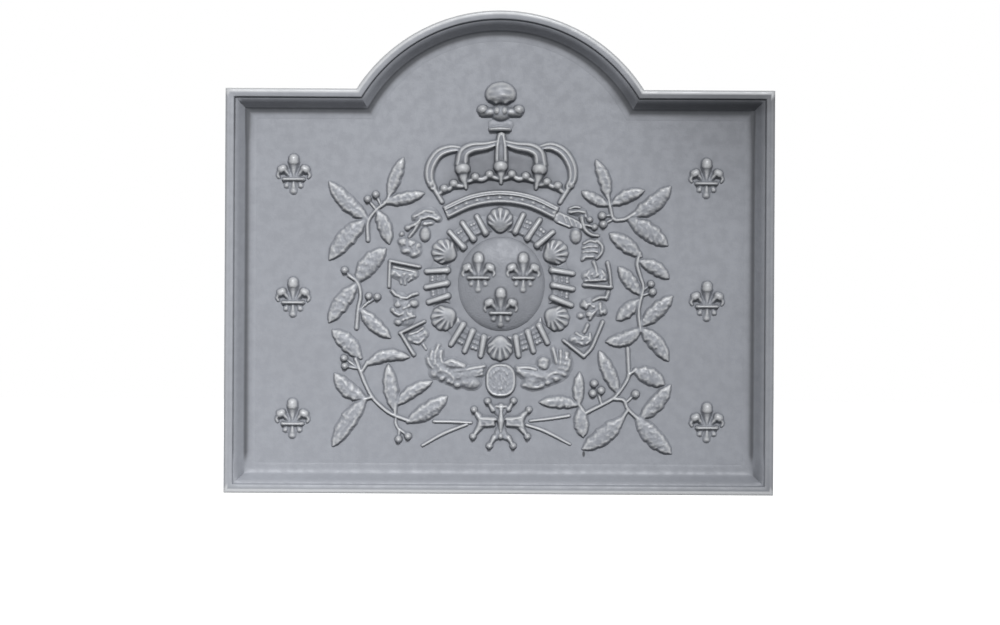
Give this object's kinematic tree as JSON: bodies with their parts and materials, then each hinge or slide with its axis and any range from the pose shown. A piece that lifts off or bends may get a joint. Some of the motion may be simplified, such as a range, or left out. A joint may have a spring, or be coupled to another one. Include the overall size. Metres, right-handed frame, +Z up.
{
  "type": "fireback",
  "caption": "Cast-iron fireback with an arched top and moulded rim; relief of a crowned shield of fleurs-de-lis in a shell collar between laurel branches.",
  "frame": {"origin": "middle of the bottom edge, half-way through the thickness", "axes": "+Z up; +X to the right seen from the front; the relief faces -Y and the flat back +Y"},
  "size_m": [0.718, 0.038, 0.632],
  "materials": {
    "cast_iron": "as-cast grey iron, graphite grey with a soft sheen, raised parts a little brighter and hollows darker"
  },
  "bodies": {
    "root": {"ground_plate": "cast_iron", "rim_moulding": "cast_iron", "field_fleur_left_top": "cast_iron", "field_fleur_left_middle": "cast_iron", "field_fleur_left_bottom": "cast_iron", "field_fleur_right_top": "cast_iron", "field_fleur_right_middle": "cast_iron", "field_fleur_right_bottom": "cast_iron", "shield_with_fleurs": "cast_iron", "collar_shell_top": "cast_iron", "collar_shell_upper_right": "cast_iron", "collar_shell_lower_right": "cast_iron", "collar_shell_bottom": "cast_iron", "collar_shell_lower_left": "cast_iron", "collar_shell_upper_left": "cast_iron", "collar_link_upper_right": "cast_iron", "collar_link_right": "cast_iron", "collar_link_lower_right": "cast_iron", "collar_link_lower_left": "cast_iron", "collar_link_left": "cast_iron", "collar_link_upper_left": "cast_iron", "crown_band": "cast_iron", "crown_arches": "cast_iron", "crown_finial": "cast_iron", "outer_plume_left": "cast_iron", "outer_pendant_left": "cast_iron", "outer_feather_left": "cast_iron", "outer_frame_left_upper": "cast_iron", "outer_trophy_left_upper": "cast_iron", "outer_knot_left": "cast_iron", "outer_frame_left_lower": "cast_iron", "outer_trophy_left_lower": "cast_iron", "outer_staff_right": "cast_iron", "outer_hook_right": "cast_iron", "outer_feather_right": "cast_iron", "outer_frame_right_upper": "cast_iron", "outer_trophy_right_upper": "cast_iron", "outer_knot_right": "cast_iron", "outer_frame_right_lower": "cast_iron", "outer_trophy_right_lower": "cast_iron", "medallion": "cast_iron", "cross_with_dove": "cast_iron", "swag_left": "cast_iron", "swag_right": "cast_iron", "laurel_left_top": "cast_iron", "laurel_left_middle": "cast_iron", "laurel_left_lower": "cast_iron", "laurel_right_top": "cast_iron", "laurel_right_middle": "cast_iron", "laurel_right_lower": "cast_iron", "stem_end_left_upper": "cast_iron", "stem_end_left_lower": "cast_iron", "stem_end_right_upper": "cast_iron", "stem_end_right_lower": "cast_iron"}
  },
  "joints": []
}
